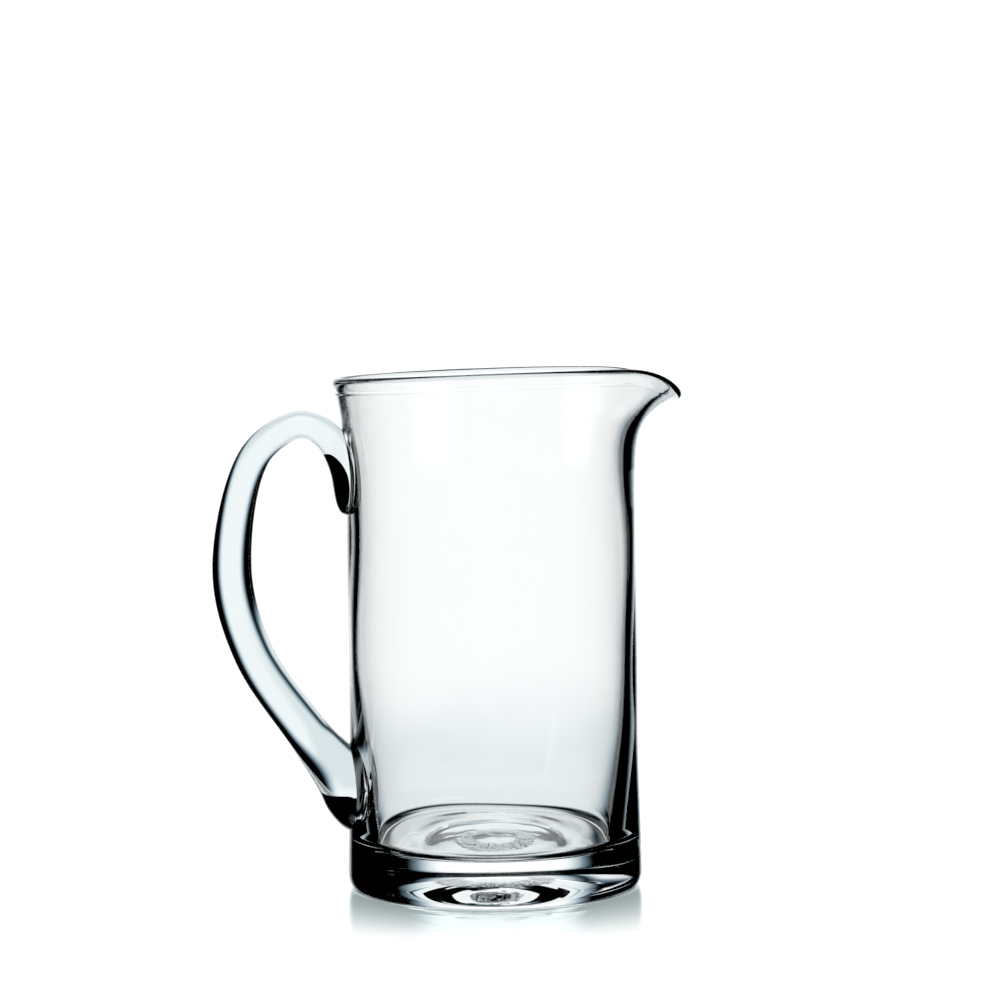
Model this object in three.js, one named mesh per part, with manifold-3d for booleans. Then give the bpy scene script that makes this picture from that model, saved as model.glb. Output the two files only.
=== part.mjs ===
// A hand-blown pitcher of clear glass: a blown vessel with a pulled spout, an applied handle
// and the scar of the holding rod under the base. Millimetres and degrees, +Z up.
// The spout points along +X and the handle along -X.
import * as THREE from "three";
import { mergeVertices } from "three/addons/utils/BufferGeometryUtils.js";
import Module from "manifold-3d";

const wasm = await Module();
wasm.setup();

// Vessel: wall, rim and mouth. The wall's length is measured straight, before the mouth is opened.
const BODY_RADIUS = 53.2; // outside of the wall at half height
const WALL_LENGTH = 188.6; // from the foot to the rim, over the handle
const WALL_THICKNESS = 3.8; // at half height and at the rim
const RIM_RISE = 2.7; // how much higher the rim stands beside the spout than over the handle
const RIM_RISE_START = 90; // height where the wall starts to lengthen towards the spout
const FLARE_LENGTH = 48; // stretch of wall below the rim that leans outwards
const FLARE_ANGLE = 12.4; // lean of the wall at the rim

// Spout: the wall is bent outwards over a narrow sector of the mouth.
const SPOUT_LENGTH = 33; // stretch of wall below the rim that is bent
const SPOUT_ANGLE = 76; // lean of the wall at the spout's lip
const SPOUT_SPREAD = 20; // half the spout's sector, seen from above

// Foot and floor.
const FOOT_RADIUS = 54.3; // outside of the wall just above the foot
const FOOT_TAPER = 60; // height over which the foot's radius runs into the body's
const FOOT_ROUND_HEIGHT = 5.6; // rounding between the wall and the resting ring
const FOOT_ROUND_WIDTH = 2.7;
const KICK_RADIUS = 26; // hollow under the base
const KICK_DEPTH = 5;
const FLOOR_HEIGHT = 15.5; // inside floor above the resting ring
const FLOOR_ROUND = 5; // rounding between the floor and the inside of the wall
const HEEL_THICKNESS = 8.5; // wall just above the floor's rounding
const HEEL_HEIGHT = 85; // height where the inside wall reaches its upper thickness

// Handle: outwards is measured from the outside of the wall, drops from the rim over the handle.
const GRIP_OUT = 42.2; // middle of the grip, at its furthest point
const GRIP_HEIGHT = 119;
const GRIP_THICKNESS = 14;
const GRIP_WIDTH = 17;
const CROWN_OUT = 17.6; // top of the bend over to the rim
const CROWN_DROP = 16.5;
const CROWN_THICKNESS = 9.9;
const CROWN_WIDTH = 16.5;
const LOWER_SEAT_HEIGHT = 37.2; // thickest place of the pad on the wall
const LOWER_SEAT_THICKNESS = 21;
const LOWER_SEAT_WIDTH = 28;
const LOWER_TAIL = 16; // pad's run down the wall below its seat
const LOWER_SINK = 4.5; // how far the pad's middle line runs into the wall at the tail's tip
const UPPER_SEAT_DROP = 33.8;
const UPPER_SEAT_THICKNESS = 11.4;
const UPPER_SEAT_WIDTH = 21;
const UPPER_TAIL = 16;

// Places between the handle's main stations, as shares of the way from one to the next.
const NECK = { out: 0.36, height: 0.25, section: 0.85 }; // from the lower seat to the grip
const ARM = { out: 0.83, height: 0.62, section: 0.95 }; // from the lower seat to the grip
const SHOULDER = { out: 0.36, height: 0.79, section: 0.7 }; // from the grip to the crown
const BEND = { out: 0.57, height: 0.2, section: 0.3 }; // from the crown to the upper seat

// Scar of the holding rod.
const SCAR_OUTER_RADIUS = 15;
const SCAR_INNER_RADIUS = 8;
const SCAR_THICKNESS = 1.8;
const SCAR_ROUGHNESS = 0.5;
const SCAR_WAVES = [5, 11, 17]; // humps round the broken edge

const FUSED_GAP = 0.3; // clearance kept where one gather is stuck to another

// Fineness of the facets.
const VESSEL_SIDES = 72;
const SPOUT_CROWDING = 0.45; // how far the sides are drawn together round the spout
const WALL_STEPS = 6;
const BEND_STEPS = 11;
const BEND_SUMS = 24; // steps in which the lean of the wall is added up
const RIM_STEPS = 6;
const ROUND_STEPS = 5;
const HANDLE_RINGS = 54;
const HANDLE_SIDES = 20;
const SECTION_TENSION = 0.4; // how closely the handle's sections follow their stations
const TIP_BLUNTNESS = 0.04; // share of the section left at the very tip of a tail
const SCAR_SIDES = 40;

const RADIANS = Math.PI / 180;
const WALL_MIDDLE = BODY_RADIUS - WALL_THICKNESS / 2;
const smooth = (t) => THREE.MathUtils.smoothstep(t, 0, 1);

// Lean of the wall, in radians, at a distance below the rim and an angle from the spout.
function leanAt(below, angle) {
  const flare = FLARE_ANGLE * smooth(1 - below / FLARE_LENGTH);
  const sector = Math.exp(-((angle / (SPOUT_SPREAD * RADIANS)) ** 2));
  const spout = (SPOUT_ANGLE - FLARE_ANGLE) * sector * smooth(1 - below / SPOUT_LENGTH);
  return (flare + spout) * RADIANS;
}

// Takes a point of the straight wall to its place on the opened mouth.
function openMouth(radius, height, angle) {
  const rise = RIM_RISE * (1 - Math.sin(angle / 2) ** 4);
  const lift = rise * smooth((height - RIM_RISE_START) / (WALL_LENGTH - RIM_RISE_START));
  const bendLength = Math.max(FLARE_LENGTH, SPOUT_LENGTH);
  const start = WALL_LENGTH - bendLength;
  if (height <= start) {
    return { radius, height: height + lift };
  }
  let outward = WALL_MIDDLE;
  let upward = start;
  const step = (height - start) / BEND_SUMS;
  for (let i = 0; i < BEND_SUMS; i++) {
    const lean = leanAt(bendLength - (i + 0.5) * step, angle);
    outward += Math.sin(lean) * step;
    upward += Math.cos(lean) * step;
  }
  const lean = leanAt(WALL_LENGTH - height, angle);
  const offset = radius - WALL_MIDDLE;
  return {
    radius: outward + offset * Math.cos(lean),
    height: upward - offset * Math.sin(lean) + lift,
  };
}

// Points of a round from one angle to another, both ends included. Its width and height may differ.
function roundPoints(centre, width, height, fromDegrees, toDegrees, steps = ROUND_STEPS) {
  const points = [];
  for (let i = 0; i <= steps; i++) {
    const turn = THREE.MathUtils.lerp(fromDegrees, toDegrees, i / steps) * RADIANS;
    points.push([centre[0] + width * Math.cos(turn), centre[1] + height * Math.sin(turn)]);
  }
  return points;
}

// Height of the hollow underside at a radius.
const kickHeight = (radius) => KICK_DEPTH * (1 - (radius / KICK_RADIUS) ** 2);

// Outside radius of the straight wall at a height.
function outsideRadius(height) {
  return THREE.MathUtils.lerp(FOOT_RADIUS, BODY_RADIUS, smooth(height / FOOT_TAPER));
}

// Inside radius of the straight wall at a height.
function insideRadius(height) {
  const climb = smooth((height - FLOOR_HEIGHT) / (HEEL_HEIGHT - FLOOR_HEIGHT));
  return BODY_RADIUS - THREE.MathUtils.lerp(HEEL_THICKNESS, WALL_THICKNESS, climb);
}

// Heights of the wall's stations, from one height up to another: crowded where the mouth bends.
function wallStations(from, to) {
  const bendStart = WALL_LENGTH - Math.max(FLARE_LENGTH, SPOUT_LENGTH);
  const heights = [];
  for (let i = 0; i < WALL_STEPS; i++) {
    heights.push(THREE.MathUtils.lerp(from, bendStart, i / WALL_STEPS));
  }
  for (let i = 0; i <= BEND_STEPS; i++) {
    heights.push(THREE.MathUtils.lerp(bendStart, to, i / BEND_STEPS));
  }
  return heights;
}

// Outside of the vessel from its resting ring to just under the rim, grown by a clearance.
function outsideProfile(grow) {
  const rimRound = WALL_THICKNESS / 2;
  const corner = [outsideRadius(FOOT_ROUND_HEIGHT) - FOOT_ROUND_WIDTH, FOOT_ROUND_HEIGHT];
  const foot = roundPoints(corner, FOOT_ROUND_WIDTH + grow, FOOT_ROUND_HEIGHT + grow, -90, 0);
  const wall = wallStations(FOOT_ROUND_HEIGHT, WALL_LENGTH - rimRound).slice(1);
  return foot.concat(wall.map((height) => [outsideRadius(height) + grow, height]));
}

// Turns a profile about +Z with its sides crowded round the spout, and opens the mouth.
function turnVessel(profile) {
  const points = profile.map(([radius, height]) => new THREE.Vector2(radius, height));
  const geometry = new THREE.LatheGeometry(points, VESSEL_SIDES);
  geometry.rotateX(Math.PI / 2);
  const position = geometry.attributes.position;
  for (let i = 0; i < position.count; i++) {
    const radius = Math.hypot(position.getX(i), position.getY(i));
    const even = Math.atan2(position.getY(i), position.getX(i));
    const angle = even - SPOUT_CROWDING * Math.sin(even);
    const onWall = radius > WALL_MIDDLE / 2;
    const place = onWall ? openMouth(radius, position.getZ(i), angle) : { radius, height: position.getZ(i) };
    position.setXYZ(i, place.radius * Math.cos(angle), place.radius * Math.sin(angle), place.height);
  }
  return geometry;
}

// The blown vessel, one closed profile from the middle of the underside round to the middle of the floor.
function vesselGeometry() {
  const rimRound = WALL_THICKNESS / 2;
  const underside = [];
  for (let i = 0; i <= ROUND_STEPS; i++) {
    const radius = (KICK_RADIUS * i) / ROUND_STEPS;
    underside.push([radius, kickHeight(radius)]);
  }
  const lip = [WALL_MIDDLE, WALL_LENGTH - rimRound];
  const rim = roundPoints(lip, rimRound, rimRound, 0, 180, RIM_STEPS).slice(1, -1);
  const floorEdge = insideRadius(FLOOR_HEIGHT + FLOOR_ROUND) - FLOOR_ROUND;
  const inside = wallStations(FLOOR_HEIGHT + FLOOR_ROUND, WALL_LENGTH - rimRound)
    .reverse()
    .slice(0, -1)
    .map((height) => [insideRadius(height), height]);
  const floorCorner = [floorEdge, FLOOR_HEIGHT + FLOOR_ROUND];
  const floorRound = roundPoints(floorCorner, FLOOR_ROUND, FLOOR_ROUND, 0, -90);
  const floor = [[floorEdge / 2, FLOOR_HEIGHT], [0, FLOOR_HEIGHT]];
  return turnVessel([...underside, ...outsideProfile(0), ...rim, ...inside, ...floorRound, ...floor]);
}

// The vessel's outside filled solid and grown by the gap, which trims what is stuck to it.
function envelopeGeometry() {
  const profile = outsideProfile(FUSED_GAP);
  profile.unshift([0, -FUSED_GAP]);
  profile.push([0, WALL_LENGTH]);
  return turnVessel(profile);
}

// The handle's stations, from the tip of its lower tail up and over to the tip of its upper tail.
function handleStations() {
  const rim = openMouth(BODY_RADIUS, WALL_LENGTH, Math.PI).height;
  const station = (out, height, thickness, width) => ({ out, height, thickness, width });
  const between = (from, to, share) => ({
    out: THREE.MathUtils.lerp(from.out, to.out, share.out),
    height: THREE.MathUtils.lerp(from.height, to.height, share.height),
    thickness: THREE.MathUtils.lerp(from.thickness, to.thickness, share.section),
    width: THREE.MathUtils.lerp(from.width, to.width, share.section),
  });
  const lowerSeat = station(0, LOWER_SEAT_HEIGHT, LOWER_SEAT_THICKNESS, LOWER_SEAT_WIDTH);
  const grip = station(GRIP_OUT, GRIP_HEIGHT, GRIP_THICKNESS, GRIP_WIDTH);
  const crown = station(CROWN_OUT, rim - CROWN_DROP, CROWN_THICKNESS, CROWN_WIDTH);
  const upperSeat = station(0, rim - UPPER_SEAT_DROP, UPPER_SEAT_THICKNESS, UPPER_SEAT_WIDTH);
  const lowerTip = { ...lowerSeat, out: -LOWER_SINK, height: lowerSeat.height - LOWER_TAIL };
  const upperTip = { ...upperSeat, height: upperSeat.height - UPPER_TAIL };
  return [
    lowerTip,
    lowerSeat,
    between(lowerSeat, grip, NECK),
    between(lowerSeat, grip, ARM),
    grip,
    between(grip, crown, SHOULDER),
    crown,
    between(crown, upperSeat, BEND),
    upperSeat,
    upperTip,
  ];
}

// A closed skin over rings of points, each ring with the same count.
function skin(rings) {
  const sides = rings[0].length;
  const corners = rings.flat();
  const sumOf = (ring) => ring.reduce((sum, point) => sum.add(point), new THREE.Vector3());
  const middle = (ring) => sumOf(ring).divideScalar(sides);
  const first = corners.push(middle(rings[0])) - 1;
  const last = corners.push(middle(rings[rings.length - 1])) - 1;
  const faces = [];
  const top = (rings.length - 1) * sides;
  for (let side = 0; side < sides; side++) {
    const next = (side + 1) % sides;
    for (let ring = 0; ring < rings.length - 1; ring++) {
      const low = ring * sides;
      const high = low + sides;
      faces.push(low + side, low + next, high + next, low + side, high + next, high + side);
    }
    faces.push(first, next, side, last, top + side, top + next);
  }
  const geometry = new THREE.BufferGeometry().setFromPoints(corners);
  geometry.setIndex(faces);
  return geometry;
}

// Solid of a closed geometry, and back.
function solidOf(geometry) {
  const bare = geometry.clone();
  bare.deleteAttribute("normal");
  bare.deleteAttribute("uv");
  const merged = mergeVertices(bare, 1e-3);
  const vertProperties = new Float32Array(merged.attributes.position.array);
  const triVerts = new Uint32Array(merged.index.array);
  return new wasm.Manifold(new wasm.Mesh({ numProp: 3, vertProperties, triVerts }));
}

function geometryOf(solid) {
  const mesh = solid.getMesh();
  const geometry = new THREE.BufferGeometry();
  geometry.setAttribute("position", new THREE.BufferAttribute(mesh.vertProperties, 3));
  geometry.setIndex(new THREE.BufferAttribute(mesh.triVerts, 1));
  geometry.computeVertexNormals();
  return geometry;
}

// The handle: oval sections along its middle line, rounded off over the tails, trimmed by the vessel.
function handleGeometry() {
  const stations = handleStations();
  const spans = stations.length - 1;
  const middles = stations.map(({ out, height }) => new THREE.Vector3(-BODY_RADIUS - out, 0, height));
  const sizes = stations.map(({ thickness, width }) => new THREE.Vector3(thickness, width, 0));
  const line = new THREE.CatmullRomCurve3(middles, false, "centripetal");
  const section = new THREE.CatmullRomCurve3(sizes, false, "catmullrom", SECTION_TENSION);
  const rings = [];
  for (let i = 0; i <= HANDLE_RINGS; i++) {
    const along = i / HANDLE_RINGS;
    const middle = line.getPoint(along);
    const run = line.getTangent(along);
    const across = new THREE.Vector3(run.z, 0, -run.x);
    const { x: thickness, y: width } = section.getPoint(along);
    const fromTip = Math.min(1, spans * Math.min(along, 1 - along));
    const taper = Math.sqrt(1 - (1 - fromTip) ** 2) + TIP_BLUNTNESS;
    const ring = [];
    for (let side = 0; side < HANDLE_SIDES; side++) {
      const turn = (2 * Math.PI * side) / HANDLE_SIDES;
      const point = middle.clone().addScaledVector(across, (taper * thickness * Math.cos(turn)) / 2);
      point.y = (taper * width * Math.sin(turn)) / 2;
      ring.push(point);
    }
    rings.push(ring);
  }
  return geometryOf(solidOf(skin(rings)).subtract(solidOf(envelopeGeometry())));
}

// The scar: a broken ring of glass that follows the hollow underside, rough where it was cracked off.
function scarGeometry() {
  const middle = (SCAR_INNER_RADIUS + SCAR_OUTER_RADIUS) / 2;
  const seat = (radius) => kickHeight(radius) - FUSED_GAP;
  const profile = [
    [SCAR_INNER_RADIUS, seat(SCAR_INNER_RADIUS)],
    [SCAR_INNER_RADIUS, seat(SCAR_INNER_RADIUS) - SCAR_THICKNESS / 2],
    [middle, seat(middle) - SCAR_THICKNESS],
    [SCAR_OUTER_RADIUS, seat(SCAR_OUTER_RADIUS) - SCAR_THICKNESS / 2],
    [SCAR_OUTER_RADIUS, seat(SCAR_OUTER_RADIUS)],
    [middle, seat(middle)],
    [SCAR_INNER_RADIUS, seat(SCAR_INNER_RADIUS)],
  ];
  const points = profile.map(([radius, height]) => new THREE.Vector2(radius, height));
  const geometry = new THREE.LatheGeometry(points, SCAR_SIDES);
  geometry.rotateX(Math.PI / 2);
  const position = geometry.attributes.position;
  for (let i = 0; i < position.count; i++) {
    const radius = Math.hypot(position.getX(i), position.getY(i));
    const angle = Math.atan2(position.getY(i), position.getX(i));
    const depth = (seat(radius) - position.getZ(i)) / SCAR_THICKNESS;
    const humps = SCAR_WAVES.map((count) => Math.sin(count * angle + radius) / SCAR_WAVES.length);
    position.setZ(i, position.getZ(i) + SCAR_ROUGHNESS * depth * humps.reduce((sum, hump) => sum + hump));
  }
  return geometry;
}

function glassPiece(name, geometry) {
  const glass = new THREE.MeshStandardMaterial({ color: 0xe6f0f0, roughness: 0.03, metalness: 0 });
  glass.transparent = true;
  glass.opacity = 0.35;
  const mesh = new THREE.Mesh(geometry, glass);
  mesh.name = name;
  return mesh;
}

const pitcher = new THREE.Group();
pitcher.add(glassPiece("vessel", vesselGeometry()));
pitcher.add(glassPiece("handle", handleGeometry()));
pitcher.add(glassPiece("pontil_scar", scarGeometry()));

// The origin lies under the middle of the pitcher's length, between the handle's grip and the spout's lip.
const handleReach = BODY_RADIUS + GRIP_OUT + GRIP_THICKNESS / 2;
const spoutReach = openMouth(WALL_MIDDLE, WALL_LENGTH, 0).radius;
pitcher.position.x = (handleReach - spoutReach) / 2;

export default pitcher;
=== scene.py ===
# A hand-blown pitcher of clear glass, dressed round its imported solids. Metres and degrees, +Z up.
# The spout points along +X and the handle along -X.
import math

import bmesh
import bpy
import numpy as np
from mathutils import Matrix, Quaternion, Vector, noise


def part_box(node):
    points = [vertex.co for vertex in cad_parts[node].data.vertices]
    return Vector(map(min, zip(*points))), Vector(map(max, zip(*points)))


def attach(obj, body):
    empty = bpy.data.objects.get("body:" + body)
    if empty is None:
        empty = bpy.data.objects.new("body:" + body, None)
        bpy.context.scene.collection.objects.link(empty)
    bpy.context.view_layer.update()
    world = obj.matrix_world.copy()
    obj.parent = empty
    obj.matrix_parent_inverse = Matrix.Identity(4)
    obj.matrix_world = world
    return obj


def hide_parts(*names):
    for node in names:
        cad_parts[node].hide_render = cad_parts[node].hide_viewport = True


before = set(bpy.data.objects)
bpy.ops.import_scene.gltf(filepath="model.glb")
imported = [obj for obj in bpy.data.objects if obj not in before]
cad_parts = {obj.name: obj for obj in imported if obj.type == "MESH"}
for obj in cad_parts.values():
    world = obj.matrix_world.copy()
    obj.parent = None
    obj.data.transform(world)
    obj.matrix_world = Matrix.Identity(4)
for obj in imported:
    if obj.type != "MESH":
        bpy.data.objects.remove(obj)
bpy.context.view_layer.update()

# Vessel: wall, rim and mouth. The wall's length is measured straight, before the mouth is opened.
BODY_RADIUS = 0.0532
WALL_LENGTH = 0.1886
WALL_THICKNESS = 0.0038
RIM_RISE = 0.0027  # how much higher the rim is over the spout than over the handle
RIM_RISE_START = 0.09
RIM_RISE_POWER = 4  # the higher it is, the closer to the handle the rim comes down
FLARE_LENGTH = 0.048
FLARE_ANGLE = 12.4
SPOUT_LENGTH = 0.033
SPOUT_ANGLE = 76
SPOUT_SPREAD = 20

# Foot and floor.
FOOT_RADIUS = 0.0543
FOOT_TAPER = 0.06
FOOT_ROUND_HEIGHT = 0.0056
FOOT_ROUND_WIDTH = 0.0027
KICK_RADIUS = 0.026
KICK_DEPTH = 0.005
KICK_SOFTNESS = 0.00025  # rounds the edge between the hollow and the resting ring
FLOOR_HEIGHT = 0.0155
FLOOR_ROUND = 0.005
HEEL_THICKNESS = 0.0097  # what the wall would have at the floor's level, but for the floor's rounding
HEEL_HEIGHT = 0.085  # below this the wall thickens

# Handle: outwards is measured from the outside of the wall, drops from the rim over the handle.
GRIP_OUT = 0.0422
GRIP_HEIGHT = 0.119
GRIP_THICKNESS = 0.014
GRIP_WIDTH = 0.017
CROWN_OUT = 0.0176
CROWN_DROP = 0.0165
CROWN_THICKNESS = 0.0099
CROWN_WIDTH = 0.0165
LOWER_SEAT_HEIGHT = 0.0372
LOWER_SEAT_THICKNESS = 0.021
LOWER_SEAT_WIDTH = 0.028
LOWER_TAIL = 0.016
LOWER_SINK = 0.0045
UPPER_SEAT_DROP = 0.0338
UPPER_SEAT_THICKNESS = 0.0114
UPPER_SEAT_WIDTH = 0.021
UPPER_TAIL = 0.016
SEAT_BITE = 0.0012  # how far the handle is sunk into the wall before the two are fused
SECTION_TENSION = 0.4  # of the curve that the handle's thickness and width follow
TIP_BLUNTNESS = 0.04  # share of the section that is left at the tips of the tails

# Places between the handle's main stations, as shares of the way: outwards, up and of the section.
NECK = (0.36, 0.25, 0.85)
ARM = (0.83, 0.62, 0.95)
SHOULDER = (0.36, 0.79, 0.7)
BEND = (0.57, 0.2, 0.3)

# Scar of the holding rod: a ring that noise makes ragged.
SCAR_OUTER_RADIUS = 0.015
SCAR_INNER_RADIUS = 0.008
SCAR_THICKNESS = 0.0018
SCAR_SINK = 0.0008  # how far the ring reaches up into the underside
SCAR_SAG = (0.15, 0.6, 0.7)  # shares of the thickness: the least, the usual, and what the noise adds
SCAR_SPREAD = 0.3  # share of the width that the noise adds
SCAR_NOISE_PATH = (60, 24)  # the way that the noise is walked through, round the ring and across it
SCAR_NOISE_GRAIN = 0.13
SCAR_NOISE_START = Vector((0, 0, 7))
SCAR_NOISE_OCTAVES = (0.8, 2.1, 5)  # how they fade, their spacing and their number

# Marks of the hand: the bore is off centre, and the skins are not quite round.
BORE_SHIFT = 0.0001  # the bore lies this far towards the handle
OVAL = 0.00012
OVAL_PHASE = 0.7  # in radians, at the resting plane
OVAL_TWIST = 9  # radians per metre of height
RIPPLE = 0.00006
RIPPLES = [(3, 95, 2), (5, -60, 4)]  # waves round, radians per metre of height, phase on the inside skin
RIM_LINE_DROP = 0.0052  # faint tool line round the mouth, below the rim
RIM_LINE_WIDTH = 0.0005
RIM_LINE_DEPTH = 0.0002
RIM_LINE_GAP = 2 * SPOUT_SPREAD  # angle from the spout within which the line fades out
SWIRLS = [(0.011, 1, 0.00006), (0.007, -2, 0.00004), (0.016, 3, 0.00007)]  # wave length, arms, height
SWIRL_EDGE = 0.006  # the swirls in the inner floor fade out over this width, at the middle and at the edge

# Fineness: points along the vessel's profile from the underside up and over to the inner floor, and the
# rings and sides of the meshes.
UNDER_POINTS = 40
FOOT_POINTS = 18
OUTSIDE_POINTS = 80
RIM_LINE_POINTS = 15
RIM_LINE_REACH = 2.5  # line widths to either side of the tool line that its points cover
RIM_POINTS = 16
INSIDE_POINTS = 76
FLOOR_ROUND_POINTS = 18
FLOOR_POINTS = 56
VESSEL_SIDES = 288
SPOUT_CROWDING = 0.3  # how much closer together the sides are at the spout
BEND_SUMS = 40  # steps in which the bent wall is added up
HANDLE_RINGS = 220
HANDLE_SIDES = 96
SCAR_SIDES = 200
SCAR_RINGS = 40

# Glass: its tints, and the roughness of its skin with the fineness and depth of the waves in it.
GLASS_INDEX = 1.5
CLEAR_TINT = (0.984, 0.996, 0.995)
# the handle's glass is tinted darker and bluer than the vessel's
HANDLE_DARKER_TINT = (0.8, 0.86, 0.87)
CRACKED_TINT = (0.97, 0.99, 1.0)
POLISHED_SKIN = (0.0, 28, 0.00004)
CRACKED_SKIN = (0.03, 420, 0.0002)

# Bright panels round the pitcher, each behind it for one side it is looked at from: bearing in degrees from
# +Y towards +X, half width, lowest and highest elevation, and brightness low down and higher up.
BACK_PANEL = (3, 20.5, -20, 36, 1.0, 0.85)
SIDE_PANELS = [
    (-90, 15, -20, 14, 0.95, 0.95),
    (-45, 15, 21, 34, 0.95, 0.95),
    (135, 18, 5, 24, 0.95, 0.95),
]
PANEL_SIDE = 14  # how softly a panel fades to the dark beside it
PANEL_EDGE = 9  # and above and below it
PANEL_DIM = (6, 16)  # elevations between which a panel's brightness changes
ZENITH_LOW = 62  # elevations over which the light overhead comes up
ZENITH_HIGH = 78
STUDIO_LIGHT = 1.17
DUSK = [  # a brightness, and the colour that it is given
    (0.0, (0.0, 0.0, 0.0)),
    (0.3, (0.16, 0.23, 0.28)),
    (0.65, (0.55, 0.63, 0.66)),
    (1.0, (1.0, 1.0, 1.0)),
]
BACKDROP = 1.09  # what the camera sees directly
WHITE = (1, 1, 1)
LEAST_LENGTH = 1e-4  # keeps a division by a length safe

# How often light from each source may be mirrored on its way. Beyond that it would only put streaks in
# the dark edges.
BACK_MIRRORS = 3
SIDE_MIRRORS = 1
PATCH_MIRRORS = 1
STUDIO_STEP = 1  # a ray that leaves for the studio is counted one step further
HALF_STEP = 0.5  # sets one count apart from the next

# Floor, with a lit patch under the base, shifted back a little, and a painted green-grey cast round the
# pitcher.
FLOOR_SIZE = 40
FLOOR_DROP = 0.0002
FLOOR_GLOSS = 0.84
FLOOR_ROUGHNESS = 0.15
FLOOR_FACING = 0.5  # how the gloss grows towards grazing views
FLOOR_SEEN = 1.09
PAINTED_CAST_TINT = (0.84, 1.0, 1.0)  # painted green-grey cast close to the pitcher, standing for its shadow and reflection on the floor
POLISH_AND_CAST_NEAR = 0.045  # distances from the pitcher's axis over which gloss and the painted green cast fade out
POLISH_AND_CAST_FAR = 0.12
GLOW_RADIUS = 0.039
GLOW_SHIFT = 0.02
GLOW_EDGE = 0.006
GLOW_LIGHT = 0.88
GLOW_TINT = (0.94, 1.0, 1.0)

# Camera and light paths.
CAMERA_DISTANCE = 1.157
CAMERA_HEIGHT = 0.2118
CAMERA_TURN = -5
CAMERA_ROLL = -0.65
TARGET_HEIGHT = 0.1426
TARGET_RIGHT = 0.0033
VIEW_ANGLE = 18.06
SENSOR_WIDTH = 36  # millimetres
GLASS_BOUNCES = 32
GLOSSY_BOUNCES = 6

# The vessel's back is round, so its axis lies half its width in from there.
vessel_low, vessel_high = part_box("vessel")
AXIS = np.array([vessel_low[0] + (vessel_high[1] - vessel_low[1]) / 2, 0, 0])
WALL_MIDDLE = BODY_RADIUS - WALL_THICKNESS / 2
RIM_ROUND = WALL_THICKNESS / 2


def smooth(share):
    share = np.clip(share, 0, 1)
    return share * share * (3 - 2 * share)


def blend(start, end, share):
    return start + (end - start) * share


def lean_at(below, angle):
    """Lean of the wall, in radians, at a distance below the rim and an angle from the spout."""
    flare = FLARE_ANGLE * smooth(1 - below / FLARE_LENGTH)
    sector = np.exp(-((angle / math.radians(SPOUT_SPREAD)) ** 2))
    spout = (SPOUT_ANGLE - FLARE_ANGLE) * sector * smooth(1 - below / SPOUT_LENGTH)
    return np.radians(flare + spout)


def open_mouth(radius, height, angle):
    """Takes points of the straight wall to their places on the opened mouth."""
    rise = RIM_RISE * (1 - np.sin(angle / 2) ** RIM_RISE_POWER)
    lift = rise * smooth((height - RIM_RISE_START) / (WALL_LENGTH - RIM_RISE_START))
    bend_length = max(FLARE_LENGTH, SPOUT_LENGTH)
    start = WALL_LENGTH - bend_length
    bent = np.maximum(height - start, 0)
    step = bent / BEND_SUMS
    outward = WALL_MIDDLE
    upward = np.minimum(height, start)
    for i in range(BEND_SUMS):
        lean = lean_at(bend_length - (i + 0.5) * step, angle)
        outward = outward + np.sin(lean) * step
        upward = upward + np.cos(lean) * step
    lean = np.where(bent > 0, lean_at(WALL_LENGTH - height, angle), 0)
    offset = radius - WALL_MIDDLE
    return outward + offset * np.cos(lean), upward - offset * np.sin(lean) + lift


def swirl_height(radius, angle):
    """Spiral waves in the inner floor, left where the hot glass was turned."""
    edge = inside_radius(FLOOR_HEIGHT + FLOOR_ROUND) - FLOOR_ROUND
    waves = sum(
        height * np.sin(2 * np.pi * radius / length + arms * angle) for length, arms, height in SWIRLS
    )
    return waves * smooth(radius / SWIRL_EDGE) * smooth((edge - radius) / SWIRL_EDGE)


def arc(centre_radius, centre_height, width, height, start, end, count):
    turns = np.radians(np.linspace(start, end, count))
    return np.stack([centre_radius + width * np.cos(turns), centre_height + height * np.sin(turns)], 1)


def kick_height(radius):
    """Height of the hollow underside, with a soft edge where it meets the resting ring."""
    bare = KICK_DEPTH * (1 - (radius / KICK_RADIUS) ** 2)
    return (bare + np.sqrt(bare**2 + 4 * KICK_SOFTNESS**2)) / 2


def outside_radius(height):
    return blend(FOOT_RADIUS, BODY_RADIUS, smooth(height / FOOT_TAPER))


def inside_radius(height):
    drop = np.clip((HEEL_HEIGHT - height) / (HEEL_HEIGHT - FLOOR_HEIGHT), 0, 1)
    return BODY_RADIUS - blend(WALL_THICKNESS, HEEL_THICKNESS, drop**2)


def outside_profile(grow):
    """The outside from the resting ring up to the rim, grown by a distance."""
    corner = outside_radius(FOOT_ROUND_HEIGHT) - FOOT_ROUND_WIDTH
    foot_size = (FOOT_ROUND_WIDTH + grow, FOOT_ROUND_HEIGHT + grow)
    foot = arc(corner, FOOT_ROUND_HEIGHT, *foot_size, -90, 0, FOOT_POINTS)
    heights = np.linspace(FOOT_ROUND_HEIGHT, WALL_LENGTH - RIM_ROUND, OUTSIDE_POINTS)[1:]
    across_line = RIM_LINE_WIDTH * np.linspace(-RIM_LINE_REACH, RIM_LINE_REACH, RIM_LINE_POINTS)
    heights = np.sort(np.concatenate([heights, WALL_LENGTH - RIM_LINE_DROP + across_line]))
    return np.concatenate([foot, np.stack([outside_radius(heights) + grow, heights], 1)])


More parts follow.
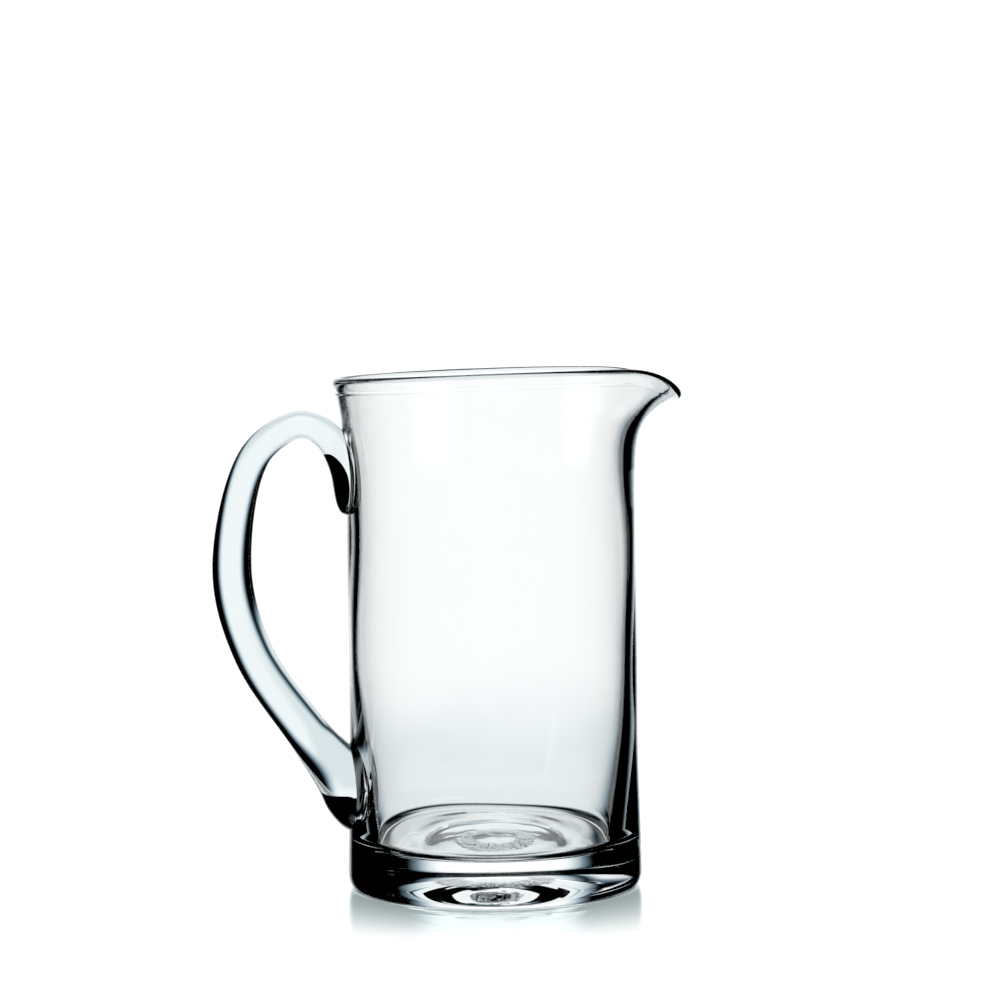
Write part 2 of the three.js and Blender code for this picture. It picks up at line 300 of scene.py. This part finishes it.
def vessel_profile():
    """The closed profile of the vessel, and for each point how far it belongs to the inside skin."""
    under = np.linspace(0, outside_radius(FOOT_ROUND_HEIGHT) - FOOT_ROUND_WIDTH, UNDER_POINTS)[:-1]
    underside = np.stack([under, kick_height(under)], 1)
    rim = arc(WALL_MIDDLE, WALL_LENGTH - RIM_ROUND, RIM_ROUND, RIM_ROUND, 0, 180, RIM_POINTS)[1:-1]
    floor_top = FLOOR_HEIGHT + FLOOR_ROUND
    heights = np.linspace(WALL_LENGTH - RIM_ROUND, floor_top, INSIDE_POINTS)[:-1]
    inside = np.stack([inside_radius(heights), heights], 1)
    floor_edge = inside_radius(floor_top) - FLOOR_ROUND
    floor_round = arc(floor_edge, floor_top, FLOOR_ROUND, FLOOR_ROUND, 0, -90, FLOOR_ROUND_POINTS)
    across = np.linspace(floor_edge, 0, FLOOR_POINTS)[1:]
    floor = np.stack([across, np.full_like(across, FLOOR_HEIGHT)], 1)
    outer = np.concatenate([underside, outside_profile(0)])
    inner = np.concatenate([inside, floor_round, floor])
    profile = np.concatenate([outer, rim, inner])
    is_inner = np.concatenate([np.zeros(len(outer)), np.linspace(0, 1, len(rim)), np.ones(len(inner))])
    return profile, is_inner


def hand_shape(points, inner):
    """Shifts points by what the maker's hand leaves: an offset bore, ovalness and ripples."""
    x, y, z = points[..., 0], points[..., 1], points[..., 2]
    angle = np.arctan2(y, x)
    share = smooth(np.hypot(x, y) / BODY_RADIUS)
    oval = OVAL * np.cos(2 * angle + OVAL_PHASE + OVAL_TWIST * z)
    waves = sum(np.sin(count * angle + twist * z + phase * inner) for count, twist, phase in RIPPLES)
    stretch = share * (oval + RIPPLE * waves)
    moved = points.copy()
    moved[..., 0] += stretch * np.cos(angle) - BORE_SHIFT * inner
    moved[..., 1] += stretch * np.sin(angle)
    return moved


def mesh_object(name, points, faces):
    mesh = bpy.data.meshes.new(name)
    mesh.from_pydata([tuple(p) for p in points], [], faces)
    mesh.validate()
    made = bpy.data.objects.new(name, mesh)
    bpy.context.scene.collection.objects.link(made)
    return made


def ring_faces(rings, sides, closed=False):
    """Quads between rings of points, each ring closed on itself."""
    faces = []
    for ring in range(rings if closed else rings - 1):
        low = ring * sides
        high = ((ring + 1) % rings) * sides
        for side in range(sides):
            after = (side + 1) % sides
            faces.append((low + side, low + after, high + after, high + side))
    return faces


def capped_faces(rings, sides):
    """Quads between rings of points, and a fan over each end round one of the two points that follow."""
    faces = ring_faces(rings, sides)
    first = rings * sides
    last_ring = first - sides
    for side in range(sides):
        after = (side + 1) % sides
        faces.append((first, after, side))
        faces.append((first + 1, last_ring + side, last_ring + after))
    return faces


def turned_mesh(name, profile, inner):
    """Turns a profile that starts and ends on the axis, with the mouth opened."""
    even = np.linspace(0, 2 * np.pi, VESSEL_SIDES, endpoint=False)
    wrapped = (even + np.pi) % (2 * np.pi) - np.pi
    angle = (wrapped - SPOUT_CROWDING * np.sin(wrapped))[None, :]
    radius = profile[1:-1, 0][:, None]
    height = profile[1:-1, 1][:, None]
    skin = inner[1:-1][:, None]
    line = np.exp(-(((WALL_LENGTH - height - RIM_LINE_DROP) / RIM_LINE_WIDTH) ** 2))
    beside_spout = 1 - np.exp(-((angle / math.radians(RIM_LINE_GAP)) ** 2))
    line = line * (1 - skin) * beside_spout * RIM_LINE_DEPTH
    r, h = open_mouth(radius - line, height, angle)
    on_floor = (skin == 1) & (height < FLOOR_HEIGHT + FLOOR_ROUND)
    h = h + np.where(on_floor, swirl_height(radius, angle), 0)
    rings = hand_shape(np.stack([r * np.cos(angle), r * np.sin(angle), h], 2), skin)
    ends = hand_shape(np.array([[0, 0, profile[0, 1]], [0, 0, profile[-1, 1]]]), inner[[0, -1]])
    points = np.concatenate([rings.reshape(-1, 3), ends])
    return mesh_object(name, points + AXIS, capped_faces(len(rings), VESSEL_SIDES))


def vessel_mesh():
    profile, inner = vessel_profile()
    return turned_mesh("vessel_skin", profile, inner)


def envelope_mesh():
    """The vessel's outside, filled and shrunk by the seat's bite, which trims the handle."""
    outside = outside_profile(-SEAT_BITE)
    profile = np.concatenate([[[0, SEAT_BITE]], outside, [[0, WALL_LENGTH]]])
    return turned_mesh("vessel_envelope", profile, np.zeros(len(profile)))


def cubic(start, end, start_slope, end_slope, share):
    bend = -3 * start + 3 * end - 2 * start_slope - end_slope
    twist = 2 * start - 2 * end + start_slope + end_slope
    return start + share * (start_slope + share * (bend + share * twist))


def curve_through(stations, along, centripetal):
    """A Catmull-Rom curve through stations, at shares along it: centripetal, or even with a mild tension."""
    padded = np.concatenate([[2 * stations[0] - stations[1]], stations, [2 * stations[-1] - stations[-2]]])
    made = []
    for share in along:
        place = share * (len(stations) - 1)
        span = min(int(place), len(stations) - 2)
        p0, p1, p2, p3 = padded[span : span + 4]
        if centripetal:
            d0, d1, d2 = (np.linalg.norm(b - a) ** 0.5 for a, b in ((p0, p1), (p1, p2), (p2, p3)))
            slope1 = d1 * ((p1 - p0) / d0 - (p2 - p0) / (d0 + d1) + (p2 - p1) / d1)
            slope2 = d1 * ((p2 - p1) / d1 - (p3 - p1) / (d1 + d2) + (p3 - p2) / d2)
        else:
            slope1 = SECTION_TENSION * (p2 - p0)
            slope2 = SECTION_TENSION * (p3 - p1)
        made.append(cubic(p1, p2, slope1, slope2, place - span))
    return np.array(made)


def handle_stations():
    """Out, height, thickness and width, from the lower tail's tip up and over to the upper tail's."""
    rim = float(open_mouth(BODY_RADIUS, WALL_LENGTH, np.array([math.pi]))[1][0])
    lower = np.array([0, LOWER_SEAT_HEIGHT, LOWER_SEAT_THICKNESS, LOWER_SEAT_WIDTH])
    grip = np.array([GRIP_OUT, GRIP_HEIGHT, GRIP_THICKNESS, GRIP_WIDTH])
    crown = np.array([CROWN_OUT, rim - CROWN_DROP, CROWN_THICKNESS, CROWN_WIDTH])
    upper = np.array([0, rim - UPPER_SEAT_DROP, UPPER_SEAT_THICKNESS, UPPER_SEAT_WIDTH])
    lower_tip = lower - [LOWER_SINK, LOWER_TAIL, 0, 0]
    upper_tip = upper - [0, UPPER_TAIL, 0, 0]

    def between(start, end, shares):
        out, height, section = shares
        return blend(start, end, np.array([out, height, section, section]))

    return np.array(
        [
            lower_tip,
            lower,
            between(lower, grip, NECK),
            between(lower, grip, ARM),
            grip,
            between(grip, crown, SHOULDER),
            crown,
            between(crown, upper, BEND),
            upper,
            upper_tip,
        ]
    )


def handle_mesh():
    """A rod of changing section along the handle's curve, with rounded tips."""
    stations = handle_stations()
    along = np.linspace(0, 1, HANDLE_RINGS)
    line = curve_through(np.stack([-BODY_RADIUS - stations[:, 0], stations[:, 1]], 1), along, True)
    size = curve_through(stations[:, 2:], along, False)
    run = np.gradient(line, axis=0)
    run /= np.linalg.norm(run, axis=1)[:, None]
    from_tip = np.minimum(1, (len(stations) - 1) * np.minimum(along, 1 - along))
    taper = np.sqrt(1 - (1 - from_tip) ** 2) + TIP_BLUNTNESS
    turn = np.linspace(0, 2 * np.pi, HANDLE_SIDES, endpoint=False)
    handle_darker = (taper * size[:, 0] / 2)[:, None] * np.cos(turn)
    x = line[:, 0][:, None] + run[:, 1][:, None] * handle_darker
    z = line[:, 1][:, None] - run[:, 0][:, None] * handle_darker
    y = (taper * size[:, 1] / 2)[:, None] * np.sin(turn)
    rings = hand_shape(np.stack([x, y, z], 2), np.zeros(x.shape))
    points = np.concatenate([rings.reshape(-1, 3), [rings[0].mean(0)], [rings[-1].mean(0)]])
    return mesh_object("handle_skin", points + AXIS, capped_faces(HANDLE_RINGS, HANDLE_SIDES))


def scar_mesh():
    """A broken ring that hangs from the hollow underside, jagged where it was cracked off."""
    middle = (SCAR_INNER_RADIUS + SCAR_OUTER_RADIUS) / 2
    half = (SCAR_OUTER_RADIUS - SCAR_INNER_RADIUS) / 2
    walk_round, walk_across = SCAR_NOISE_PATH
    least_sag, usual_sag, ragged_sag = SCAR_SAG
    points = []
    for t in np.linspace(0, 2 * np.pi, SCAR_RINGS, endpoint=False):
        for a in np.linspace(0, 2 * np.pi, SCAR_SIDES, endpoint=False):
            walked = Vector((walk_round * math.cos(a), walk_round * math.sin(a), walk_across * math.cos(t)))
            ragged = noise.fractal(walked * SCAR_NOISE_GRAIN + SCAR_NOISE_START, *SCAR_NOISE_OCTAVES)
            r = middle + half * math.cos(t) * (1 + SCAR_SPREAD * ragged)
            sag = SCAR_THICKNESS * max(least_sag, usual_sag + ragged_sag * ragged)
            depth = sag if math.sin(t) > 0 else SCAR_SINK
            points.append((r * math.cos(a), r * math.sin(a), float(kick_height(r)) - depth * math.sin(t)))
    points = hand_shape(np.array(points), np.zeros(len(points)))
    return mesh_object("scar_skin", points + AXIS, ring_faces(SCAR_RINGS, SCAR_SIDES, closed=True))


def combine(base, other, operation):
    """Applies a boolean of two closed meshes to the first, and removes the second."""
    cut = base.modifiers.new("cut", "BOOLEAN")
    cut.operation = operation
    cut.solver = "MANIFOLD"
    cut.object = other
    graph = bpy.context.evaluated_depsgraph_get()
    made = bpy.data.meshes.new_from_object(base.evaluated_get(graph))
    base.modifiers.clear()
    base.data = made
    bpy.data.objects.remove(other)


def is_under(edge):
    """Whether an edge of a seam is on the underside, round the scar, and not on the wall."""
    return edge.verts[0].co.z < FLOOR_HEIGHT / 2


def part_of(fused, index, name, materials):
    """One gather of the fused glass, closed over its seams by faces that light passes unchanged."""
    mesh = bmesh.new()
    mesh.from_mesh(fused.data)
    others = [face for face in mesh.faces if face.material_index != index]
    bmesh.ops.delete(mesh, geom=others, context="FACES")
    for face in mesh.faces:
        face.material_index = 0
    seams = [edge for edge in mesh.edges if edge.is_boundary]
    for edge in seams:
        edge.smooth = False
    under = [edge for edge in seams if is_under(edge)]
    wall = [edge for edge in seams if not is_under(edge)]
    made = []
    if under:
        made += bmesh.ops.bridge_loops(mesh, edges=under)["faces"]
    if wall:
        made += bmesh.ops.holes_fill(mesh, edges=wall, sides=0)["faces"]
    for face in made:
        face.material_index = 1
    bmesh.ops.triangulate(mesh, faces=made)
    bmesh.ops.recalc_face_normals(mesh, faces=mesh.faces[:])
    data = bpy.data.meshes.new(name)
    mesh.to_mesh(data)
    mesh.free()
    for material in materials:
        data.materials.append(material)
    data.polygons.foreach_set("use_smooth", [True] * len(data.polygons))
    piece = bpy.data.objects.new(name, data)
    bpy.context.scene.collection.objects.link(piece)
    return piece


def glass_material(name, tint, skin):
    roughness, fineness, depth = skin
    material = bpy.data.materials.new(name)
    material.use_nodes = True
    nodes, links = material.node_tree.nodes, material.node_tree.links
    shader = nodes["Principled BSDF"]
    shader.inputs["Base Color"].default_value = (*tint, 1)
    shader.inputs["Roughness"].default_value = roughness
    shader.inputs["IOR"].default_value = GLASS_INDEX
    shader.inputs["Transmission Weight"].default_value = 1
    spots = nodes.new("ShaderNodeTexCoord")
    waves = nodes.new("ShaderNodeTexNoise")
    waves.inputs["Scale"].default_value = fineness
    waves.inputs["Detail"].default_value = 1
    bump = nodes.new("ShaderNodeBump")
    bump.inputs["Strength"].default_value = 1
    bump.inputs["Distance"].default_value = depth
    links.new(spots.outputs["Object"], waves.inputs["Vector"])
    links.new(waves.outputs["Fac"], bump.inputs["Height"])
    links.new(bump.outputs["Normal"], shader.inputs["Normal"])
    return material


def seam_material():
    material = bpy.data.materials.new("fused_seam")
    material.use_nodes = True
    material.node_tree.nodes["Principled BSDF"].inputs["Alpha"].default_value = 0
    return material


def build_glass():
    """Fuses the three gathers into one skin, so that no wall of glass is left inside, and parts it again."""
    clear = glass_material("fire_polished_glass", CLEAR_TINT, POLISHED_SKIN)
    # the handle's glass gets a darker, bluer tint than the vessel's
    handle_darker = glass_material("handle_darker_glass", HANDLE_DARKER_TINT, POLISHED_SKIN)
    broken = glass_material("cracked_glass", CRACKED_TINT, CRACKED_SKIN)
    seam = seam_material()
    handle = handle_mesh()
    combine(handle, envelope_mesh(), "DIFFERENCE")
    fused = vessel_mesh()
    for index, gather in enumerate([fused, handle, scar_mesh()]):
        gather.data.materials.clear()
        for material in (clear, clear, broken):
            gather.data.materials.append(material)
        gather.data.polygons.foreach_set("material_index", [index] * len(gather.data.polygons))
        if index > 0:
            combine(fused, gather, "UNION")
    gathers = [
        ("vessel", clear, "clear_glass"),
        ("handle", handle_darker, "clear_glass"),
        ("pontil_scar", broken, "broken_glass"),
    ]
    for index, (node, material, slot) in enumerate(gathers):
        piece = part_of(fused, index, "glass_" + node, [material, seam])
        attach(piece, "root")
        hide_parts(node)
    bpy.data.objects.remove(fused)


class Graph:
    """Short ways to add nodes to a node tree."""

    def __init__(self, tree):
        self.nodes, self.links = tree.nodes, tree.links
        self.nodes.clear()

    def add(self, kind, **inputs):
        node = self.nodes.new("ShaderNode" + kind)
        for name, value in inputs.items():
            self.feed(node.inputs[name.replace("_", " ")], value)
        return node

    def feed(self, socket, value):
        if isinstance(value, bpy.types.NodeSocket):
            self.links.new(value, socket)
        else:
            socket.default_value = value

    def maths(self, operation, *values):
        node = self.nodes.new("ShaderNodeMath")
        node.operation = operation
        for socket, value in zip(node.inputs, values):
            self.feed(socket, value)
        return node.outputs[0]

    def fade(self, value, start, end):
        node = self.add("MapRange", Value=value, From_Min=start, From_Max=end)
        node.interpolation_type = "SMOOTHSTEP"
        return node.outputs["Result"]

    def rise(self, sine, start, end):
        """Fades in between two angles, for a value that is the sine of an angle."""
        return self.fade(sine, math.sin(math.radians(start)), math.sin(math.radians(end)))

    def length(self, x, y):
        squares = self.maths("ADD", self.maths("MULTIPLY", x, x), self.maths("MULTIPLY", y, y))
        return self.maths("MAXIMUM", self.maths("SQRT", squares), LEAST_LENGTH)

    def few_mirrors(self, path, most):
        """One for a ray that was mirrored at most so many times, or else nothing."""
        mirrored = self.maths("SUBTRACT", path["Ray Depth"], path["Transmission Depth"])
        return self.maths("LESS_THAN", mirrored, most + HALF_STEP)

    def glow(self, tint, strength):
        return self.add("Emission", Color=(*tint, 1), Strength=strength).outputs[0]

    def gloss(self, roughness):
        return self.add("BsdfGlossy", Color=(*WHITE, 1), Roughness=roughness).outputs[0]

    def mix(self, share, first, second):
        node = self.nodes.new("ShaderNodeMixShader")
        for socket, value in zip(node.inputs, (share, first, second)):
            self.feed(socket, value)
        return node.outputs[0]

    def dusk(self, value):
        """The colour of a brightness: half light is bluish."""
        node = self.nodes.new("ShaderNodeValToRGB")
        elements = node.color_ramp.elements
        for place, _ in DUSK[1:-1]:
            elements.new(place)
        for element, (place, colour) in zip(elements, DUSK):
            element.position = place
            element.color = (*colour, 1)
        self.feed(node.inputs[0], value)
        return node.outputs["Color"]


def studio():
    """Bright panels behind the pitcher for the sides it is looked at from, with dark gaps between them."""
    world = bpy.data.worlds.new("studio")
    bpy.context.scene.world = world
    world.use_nodes = True
    graph = Graph(world.node_tree)
    direction = graph.add("TexCoord").outputs["Generated"]
    x, y, z = graph.add("SeparateXYZ", Vector=direction).outputs
    path = graph.add("LightPath").outputs
    level = graph.length(x, y)
    higher = graph.rise(z, *PANEL_DIM)
    through_glass = graph.maths("GREATER_THAN", path["Transmission Depth"], HALF_STEP)
    side_gate = graph.maths("MULTIPLY", through_glass, graph.few_mirrors(path, SIDE_MIRRORS + STUDIO_STEP))
    back_gate = graph.few_mirrors(path, BACK_MIRRORS + STUDIO_STEP)
    shades = graph.rise(z, ZENITH_LOW, ZENITH_HIGH)
    for panel in [BACK_PANEL, *SIDE_PANELS]:
        bearing, half, low, high, foot_light, top_light = panel
        east, north = math.sin(math.radians(bearing)), math.cos(math.radians(bearing))
        along = graph.maths("ADD", graph.maths("MULTIPLY", x, east), graph.maths("MULTIPLY", y, north))
        edge = 90 - half
        from_side = graph.maths("DIVIDE", along, level)
        from_side = graph.rise(from_side, edge - PANEL_SIDE / 2, edge + PANEL_SIDE / 2)
        from_under = graph.rise(z, low - PANEL_EDGE, low)
        from_over = graph.rise(z, high + PANEL_EDGE, high)
        shade = graph.maths("MULTIPLY", from_side, graph.maths("MULTIPLY", from_under, from_over))
        light = graph.add("MapRange", Value=higher, To_Min=foot_light, To_Max=top_light).outputs["Result"]
        light = graph.maths("MULTIPLY", light, back_gate if panel is BACK_PANEL else side_gate)
        shades = graph.maths("MAXIMUM", shades, graph.maths("MULTIPLY", shade, light))
    lit = graph.add("Background", Color=graph.dusk(shades), Strength=STUDIO_LIGHT)
    backdrop = graph.add("Background", Color=(*WHITE, 1), Strength=BACKDROP)
    blurred = graph.maths("SUBTRACT", path["Is Reflection Ray"], path["Is Singular Ray"])
    open_sky = graph.maths("MAXIMUM", path["Is Camera Ray"], blurred)
    graph.add("OutputWorld", Surface=graph.mix(open_sky, lit.outputs[0], backdrop.outputs[0]))


def floor_material():
    """Seen directly it is pale and glossy, with a painted green shade round the pitcher. Through the glass
    it is a mirror, with the lit patch on it.
    """
    material = bpy.data.materials.new("pale_floor")
    material.use_nodes = True
    graph = Graph(material.node_tree)
    path = graph.add("LightPath").outputs
    place = graph.add("TexCoord").outputs["Object"]
    x, y, _ = graph.add("SeparateXYZ", Vector=place).outputs
    x = graph.maths("SUBTRACT", x, AXIS[0])
    from_patch = graph.length(x, graph.maths("SUBTRACT", y, GLOW_SHIFT))
    patch = graph.fade(from_patch, GLOW_RADIUS + GLOW_EDGE, GLOW_RADIUS)
    patch = graph.maths("MULTIPLY", patch, graph.few_mirrors(path, PATCH_MIRRORS))
    through_glass = graph.mix(patch, graph.gloss(0), graph.glow(GLOW_TINT, GLOW_LIGHT))
    polish_and_painted_cast = graph.fade(graph.length(x, y), POLISH_AND_CAST_FAR, POLISH_AND_CAST_NEAR)
    # close to the pitcher the glow seen directly takes a painted green-grey cast for the pitcher's shadow
    # and reflection
    pale = graph.mix(polish_and_painted_cast, graph.glow(WHITE, FLOOR_SEEN), graph.glow(PAINTED_CAST_TINT, FLOOR_SEEN))
    facing = graph.add("LayerWeight", Blend=FLOOR_FACING).outputs["Facing"]
    share = graph.maths("MULTIPLY", graph.maths("MULTIPLY", facing, FLOOR_GLOSS), polish_and_painted_cast)
    direct = graph.mix(share, pale, graph.gloss(FLOOR_ROUGHNESS))
    graph.add("OutputMaterial", Surface=graph.mix(path["Is Camera Ray"], through_glass, direct))
    return material


def floor():
    half = FLOOR_SIZE / 2
    corners = [(-half, -half), (half, -half), (half, half), (-half, half)]
    sheet = mesh_object("floor", [(x, y, -FLOOR_DROP) for x, y in corners], [(0, 1, 2, 3)])
    sheet.data.materials.append(floor_material())


def camera():
    turn = math.radians(CAMERA_TURN)
    right = Vector((math.cos(turn), math.sin(turn), 0))
    away = Vector((-math.sin(turn), math.cos(turn), 0))
    axis = Vector(AXIS)
    data = bpy.data.cameras.new("camera")
    data.sensor_width = SENSOR_WIDTH
    data.lens = SENSOR_WIDTH / 2 / math.tan(math.radians(VIEW_ANGLE) / 2)
    made = bpy.data.objects.new("camera", data)
    bpy.context.scene.collection.objects.link(made)
    made.location = axis - away * CAMERA_DISTANCE + Vector((0, 0, CAMERA_HEIGHT))
    target = axis + right * TARGET_RIGHT + Vector((0, 0, TARGET_HEIGHT))
    aim = (target - made.location).to_track_quat("-Z", "Y")
    roll = Quaternion((0, 0, 1), math.radians(CAMERA_ROLL))
    made.rotation_euler = (aim @ roll).to_euler()
    bpy.context.scene.camera = made


def light_paths():
    """Plain colours, and enough bounces for light to get through thick glass."""
    scene = bpy.context.scene
    scene.view_settings.view_transform = "Standard"
    scene.cycles.max_bounces = GLASS_BOUNCES
    scene.cycles.transmission_bounces = GLASS_BOUNCES
    scene.cycles.transparent_max_bounces = GLASS_BOUNCES
    scene.cycles.glossy_bounces = GLOSSY_BOUNCES


build_glass()
studio()
floor()
camera()
light_paths()
